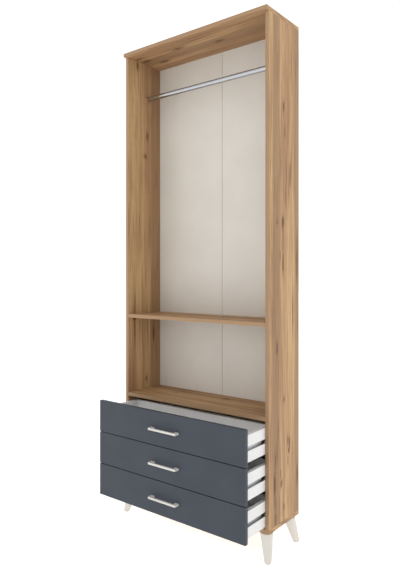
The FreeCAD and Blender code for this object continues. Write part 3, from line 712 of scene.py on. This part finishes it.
def make_screw_tree():
    """Crowned heads with a cross recess, on shanks with thread rings and a point."""
    tree, source, result = new_tree("cross_head_screws", {
        "Crown": (NUMBER, 0.92), "Recess Reach": (NUMBER, 1.15), "Recess Width": (NUMBER, 0.24),
        "Recess Depth": (NUMBER, 1.3), "Thread Rings": (COUNT, 9), "Thread Depth": (NUMBER, 0.2)})
    cap = add_node(tree, "GeometryNodeMeshCone", {"Vertices": HEAD_SIDES, "Radius Top": source["Crown"],
                                                  "Radius Bottom": 1.0, "Depth": 1.0}).outputs["Mesh"]
    cap = add_node(tree, "GeometryNodeTransform", {"Geometry": cap, "Translation": (0.0, 0.0, -1.0)})
    reach, width, depth = source["Recess Reach"], source["Recess Width"], source["Recess Depth"]
    head = add_node(tree, "GeometryNodeMeshBoolean", {"Mesh 1": cap.outputs[0]}, operation="DIFFERENCE")
    for size in (spaced(tree, reach, width, depth), spaced(tree, width, reach, depth)):
        arm = add_node(tree, "GeometryNodeMeshCube", {"Size": size}).outputs["Mesh"]
        tree.links.new(arm, head.inputs["Mesh 2"])

    rows = calc(tree, "MULTIPLY", source["Thread Rings"], ROWS_PER_RING)
    rod = add_node(tree, "GeometryNodeMeshCylinder", {"Vertices": SHANK_SIDES, "Side Segments": rows,
                                                      "Radius": 1.0, "Depth": 1.0}).outputs["Mesh"]
    rod = add_node(tree, "GeometryNodeTransform", {"Geometry": rod, "Translation": (0.0, 0.0, -0.5)})
    at = split(tree, add_node(tree, "GeometryNodeInputPosition").outputs[0])
    turn = calc(tree, "MULTIPLY", calc(tree, "MULTIPLY", at["Z"], math.tau), source["Thread Rings"])
    dip = calc(tree, "MULTIPLY", calc(tree, "MULTIPLY_ADD", calc(tree, "COSINE", turn), -0.5, 0.5),
               source["Thread Depth"])
    point = eased_range(tree, at["Z"], POINT_START, -1.0, 1.0, POINT_WIDTH)
    width_share = calc(tree, "MULTIPLY", calc(tree, "SUBTRACT", 1.0, dip), point)
    ringed = spaced(tree, calc(tree, "MULTIPLY", at["X"], width_share),
                    calc(tree, "MULTIPLY", at["Y"], width_share), at["Z"])
    rod = add_node(tree, "GeometryNodeSetPosition", {"Geometry": rod.outputs[0], "Position": ringed})

    aim = add_node(tree, "FunctionNodeAlignRotationToVector",
                   {"Vector": attribute(tree, "outward", "FLOAT_VECTOR")}, axis="Z").outputs[0]
    both = add_node(tree, "GeometryNodeJoinGeometry")
    for shape, radius, height in ((head.outputs["Mesh"], "head_radius", "head_height"),
                                  (rod.outputs[0], "shank_radius", "length")):
        across = attribute(tree, radius)
        scale = spaced(tree, across, across, attribute(tree, height))
        copies = add_node(tree, "GeometryNodeInstanceOnPoints", {
            "Points": source["Geometry"], "Instance": shape, "Rotation": aim, "Scale": scale})
        tree.links.new(copies.outputs[0], both.inputs[0])
    return end_tree(tree, source, result, both.outputs[0])


screw_tree = make_screw_tree()
SCREW_NODES = {"carcass": ("carcass_screws", "leg_plate_screws", "rail_socket_screws",
                           "cabinet_runner_screws", "deck_cam_fasteners")}
SCREW_NODES |= {drawer: (f"{drawer}_screws",) for drawer in DRAWERS}
for body, screw_nodes in SCREW_NODES.items():
    for node in screw_nodes:
        start = screw_points(f"{node}_places", read_screws(node))
        mesh = grown(f"{node}_cut", start, screw_tree, {"Material": FINISHES["fastener_steel"]})
        add_piece(f"{node}_cross_head", mesh, body, "fastener_steel", node)

# Runners: rolled steel channels with punched slots

BEND_STEPS = 4
BEND_SHARE = 1.1
SLOT_SIDES = 16
SLOTS_IN_ROW = 2
SLOT_SPACING = 0.018
SLOT_HEIGHT_SHARE = 0.32
SLIDE_SLOT_SHARES = (0.305, 0.62)
RUNNER_SLOT_SHARES = (0.3, 0.6)


def channel_line(depth, height, steel):
    """Middle line of a channel's steel, from the lower lip round the web to the upper lip."""
    rise = (height - steel) / 2
    bend = BEND_SHARE * steel
    upper = []
    for step in range(BEND_STEPS + 1):
        angle = math.radians(90.0 * step / BEND_STEPS)
        upper.append((steel / 2 + bend - bend * math.cos(angle), rise - bend + bend * math.sin(angle)))
    upper.append((depth, rise))
    lower = [(out, -up) for out, up in reversed(upper)]
    return [Vector((out, 0.0, up)) for out, up in lower + upper]


def rolled_channel(name, low, high, outward, steel):
    """A channel along Y between two corners, open towards the given side."""
    line = channel_line(high.x - low.x, high.z - low.z, steel)
    web = Vector((low.x if outward > 0 else high.x, 0.0, (low.z + high.z) / 2))
    mesh = bmesh.new()
    rings = []
    for number, middle in enumerate(line):
        before = line[max(number - 1, 0)]
        after = line[min(number + 1, len(line) - 1)]
        run = (after - before).normalized()
        side = Vector((-run.z, 0.0, run.x)) * (steel / 2)
        ring = []
        for point in (middle + side, middle - side):
            for y in (low.y, high.y):
                ring.append(mesh.verts.new((web.x + outward * point.x, y, web.z + point.z)))
        rings.append(ring)
    for first, second in zip(rings, rings[1:]):
        for one, two in ((0, 1), (1, 3), (3, 2), (2, 0)):
            mesh.faces.new((first[one], first[two], second[two], second[one]))
    for ring in (rings[0], rings[-1]):
        mesh.faces.new((ring[0], ring[1], ring[3], ring[2]))
    bmesh.ops.recalc_face_normals(mesh, faces=mesh.faces)
    made = bpy.data.meshes.new(name)
    mesh.to_mesh(made)
    mesh.free()
    return made


def make_slot_tree():
    """Round-ended slots punched through the web of a channel, in a row along Y."""
    tree, source, result = new_tree("punched_slots", {
        "Start": (VECTOR, None), "Spacing": (NUMBER, SLOT_SPACING), "Count": (COUNT, SLOTS_IN_ROW),
        "Slot Length": (NUMBER, 0.009), "Slot Height": (NUMBER, 0.005), "Slot Depth": (NUMBER, 0.004)})
    radius = calc(tree, "MULTIPLY", source["Slot Height"], 0.5)
    straight = calc(tree, "SUBTRACT", source["Slot Length"], source["Slot Height"])
    cutter = add_node(tree, "GeometryNodeMeshCylinder", {"Vertices": SLOT_SIDES, "Radius": radius,
                                                         "Depth": source["Slot Depth"]}).outputs["Mesh"]
    cutter = add_node(tree, "GeometryNodeTransform", {"Geometry": cutter,
                                                      "Rotation": (0.0, math.pi / 2, 0.0)}).outputs[0]
    at = split(tree, add_node(tree, "GeometryNodeInputPosition").outputs[0])
    stretch = calc(tree, "MULTIPLY", calc(tree, "SIGN", at["Y"]), calc(tree, "MULTIPLY", straight, 0.5))
    cutter = add_node(tree, "GeometryNodeSetPosition", {"Geometry": cutter,
                                                        "Offset": spaced(tree, y=stretch)}).outputs[0]
    row = add_node(tree, "GeometryNodeMeshLine", {"Count": source["Count"], "Start Location": source["Start"],
                                                  "Offset": spaced(tree, y=source["Spacing"])}).outputs[0]
    cutters = add_node(tree, "GeometryNodeInstanceOnPoints", {"Points": row, "Instance": cutter}).outputs[0]
    cutters = add_node(tree, "GeometryNodeRealizeInstances", {"Geometry": cutters}).outputs[0]
    punched = add_node(tree, "GeometryNodeMeshBoolean", {"Mesh 1": source["Geometry"], "Mesh 2": cutters},
                       operation="DIFFERENCE").outputs["Mesh"]
    return end_tree(tree, source, result, punched)


slot_tree = make_slot_tree()


def steel_of(points):
    """Thickness of the steel of a channel."""
    across = levels_of(points, 0)
    return min(after - before for before, after in zip(across, across[1:]))


def punched_channel(name, points, outward, steel, slot_shares):
    """A channel in the place of a CAD one, with two rows of slots."""
    low, high = ends_of(points)
    mesh = rolled_channel(name, low, high, outward, steel)
    web = low.x if outward > 0 else high.x
    for share in slot_shares:
        start = Vector((web, low.y + share * (high.y - low.y), (low.z + high.z) / 2))
        mesh = grown(name, mesh, slot_tree, {"Start": start,
                                             "Slot Height": SLOT_HEIGHT_SHARE * (high.z - low.z),
                                             "Material": FINISHES["runner_steel"]})
    return mesh


def merged(name, meshes):
    """Several meshes as one, with the finish of the first."""
    whole = bmesh.new()
    for mesh in meshes:
        whole.from_mesh(mesh)
    made = bpy.data.meshes.new(name)
    whole.to_mesh(made)
    whole.free()
    made.materials.append(meshes[0].materials[0])
    return made


slide_steel = {}
for drawer in DRAWERS:
    for side, outward in (("left", -1.0), ("right", 1.0)):
        node = f"{drawer}_slide_{side}"
        points = solids_of(node)[0]
        slide_steel[drawer] = steel_of(points)
        mesh = punched_channel(f"{node}_rolled", points, outward, slide_steel[drawer], SLIDE_SLOT_SHARES)
        add_piece(f"{node}_rolled", mesh, drawer, "runner_steel", node)
    node = f"{drawer}_cabinet_runners"
    channels = []
    for points in solids_of(node):
        inward = -1.0 if points[0].x > 0.0 else 1.0
        channel = punched_channel(f"{node}_one", points, inward, slide_steel[drawer], RUNNER_SLOT_SHARES)
        channels.append(channel)
    add_piece(f"{node}_rolled", merged(f"{node}_rolled", channels), "carcass", "runner_steel", node)

# Ball cages: an eased plastic strip with two arms, and rows of steel balls in the arms

BALLS_IN_ROW = 9
BALL_SMOOTHNESS = 3
BALL_PLAY = 0.0001
STRIP_EASE = 0.0003
EASE_STEPS = 2


def add_eased_block(mesh, low, high):
    """A block with bevelled edges between two corners."""
    block = bmesh.ops.create_cube(mesh, size=1.0)["verts"]
    for vert in block:
        vert.co = Vector(low[axis] + (vert.co[axis] + 0.5) * (high[axis] - low[axis]) for axis in range(3))
    edges = list({edge for vert in block for edge in vert.link_edges})
    bmesh.ops.bevel(mesh, geom=edges, offset=STRIP_EASE, segments=EASE_STEPS, affect="EDGES", profile=0.5)


def make_ball_tree():
    """Rows of balls along Y, one row from each point."""
    tree, source, result = new_tree("ball_rows", {
        "Ball Radius": (NUMBER, 0.0013), "Spacing": (NUMBER, 0.007), "Count": (COUNT, BALLS_IN_ROW)})
    ball = add_node(tree, "GeometryNodeMeshIcoSphere", {"Radius": source["Ball Radius"],
                                                        "Subdivisions": BALL_SMOOTHNESS}).outputs[0]
    row = add_node(tree, "GeometryNodeMeshLine", {"Count": source["Count"],
                                                  "Offset": spaced(tree, y=source["Spacing"])}).outputs[0]
    balls = add_node(tree, "GeometryNodeInstanceOnPoints", {"Points": row, "Instance": ball}).outputs[0]
    rows = add_node(tree, "GeometryNodeInstanceOnPoints", {"Points": source["Geometry"], "Instance": balls})
    smooth = add_node(tree, "GeometryNodeSetShadeSmooth", {"Geometry": rows.outputs[0]})
    return end_tree(tree, source, result, smooth.outputs[0])


ball_tree = make_ball_tree()
for drawer in DRAWERS:
    node = f"{drawer}_ball_cages"
    strips = bmesh.new()
    row_starts = []
    for points in solids_of(node):
        across, depths, heights = (levels_of(points, axis) for axis in range(3))
        right = across[0] > 0.0
        web_low, web_high = across[:2] if right else across[1:]
        arm_tip = across[2] if right else across[0]
        add_eased_block(strips, (web_low, depths[0], heights[0]), (web_high, depths[1], heights[-1]))
        spacing = (depths[1] - depths[0]) / BALLS_IN_ROW
        for low_height, high_height in ((heights[0], heights[1]), (heights[-2], heights[-1])):
            add_eased_block(strips, (across[0], depths[0], low_height), (across[2], depths[1], high_height))
            row_starts.append((arm_tip, depths[0] + spacing / 2, (low_height + high_height) / 2))
    mesh = bpy.data.meshes.new(f"{node}_strips")
    strips.to_mesh(mesh)
    strips.free()
    mesh.materials.append(FINISHES["cage_plastic"])
    add_piece(f"{node}_strips", mesh, f"{drawer}_cages", "cage_plastic", node)
    starts = bpy.data.meshes.new(f"{node}_rows")
    starts.from_pydata(row_starts, [], [])
    slide_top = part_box(f"{drawer}_slide_right")[1].z
    runner_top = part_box(f"{drawer}_cabinet_runners")[1].z
    ball_radius = (slide_top - slide_steel[drawer] - runner_top) / 2 - BALL_PLAY
    balls = grown(f"{node}_balls", starts, ball_tree, {"Ball Radius": ball_radius, "Spacing": spacing,
                                                       "Material": FINISHES["runner_steel"]})
    add_piece(f"{node}_balls", balls, f"{drawer}_cages", "runner_steel")

# Floor, light and camera

FLOOR_REACH = 30.0
FLOOR_GLOW = 0.5
HORIZON_STRENGTH = 1.14
ZENITH_STRENGTH = 0.6
SKY_FADE = (0.45, 0.95)
WHITE = tone(255, 255, 255)


def make_floor():
    """A wide pale floor with a slight glow of its own."""
    mesh = bpy.data.meshes.new("pale_floor")
    corners = [(x * FLOOR_REACH, y * FLOOR_REACH, 0.0) for x, y in ((-1, -1), (1, -1), (1, 1), (-1, 1))]
    mesh.from_pydata(corners, [], [(0, 1, 2, 3)])
    floor = bpy.data.objects.new("pale_floor", mesh)
    bpy.context.scene.collection.objects.link(floor)
    glow = {"Emission Color": WHITE, "Emission Strength": FLOOR_GLOW}
    paint = make_even_finish("pale_floor_paint", (252, 252, 252), (254, 254, 254), (0.6, 0.7), 0.0001,
                             broad_scale=1.0, **glow)
    mesh.materials.append(paint)
    floor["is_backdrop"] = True


def make_light():
    """Soft light from all round, weaker from above."""
    world = bpy.data.worlds.new("soft_studio")
    bpy.context.scene.world = world
    world.use_nodes = True
    tree = world.node_tree
    way = split(tree, add_node(tree, "ShaderNodeTexCoord").outputs["Generated"])
    strength = eased_range(tree, way["Z"], *SKY_FADE, HORIZON_STRENGTH, ZENITH_STRENGTH)
    sky = tree.nodes["Background"]
    sky.inputs["Color"].default_value = WHITE
    tree.links.new(strength, sky.inputs["Strength"])


def make_camera():
    """The photograph's camera: level, turned to the left, with the frame shifted to its horizon."""
    data = bpy.data.cameras.new("photo_camera")
    data.sensor_width = SENSOR_LONG_SIDE
    data.lens = FOCAL_PIXELS * SENSOR_LONG_SIDE / IMAGE_HEIGHT
    data.shift_y = (HORIZON_ROW - IMAGE_HEIGHT / 2) / IMAGE_HEIGHT
    camera = bpy.data.objects.new("photo_camera", data)
    camera.location = (CAMERA_ASIDE, front_plane - CAMERA_DISTANCE, CAMERA_HEIGHT)
    camera.rotation_euler = (math.pi / 2, 0.0, CAMERA_YAW)
    bpy.context.scene.collection.objects.link(camera)
    bpy.context.scene.camera = camera


make_floor()
make_light()
make_camera()
bpy.context.scene.view_settings.view_transform = "Standard"

# The box of the dressed model

low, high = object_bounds()
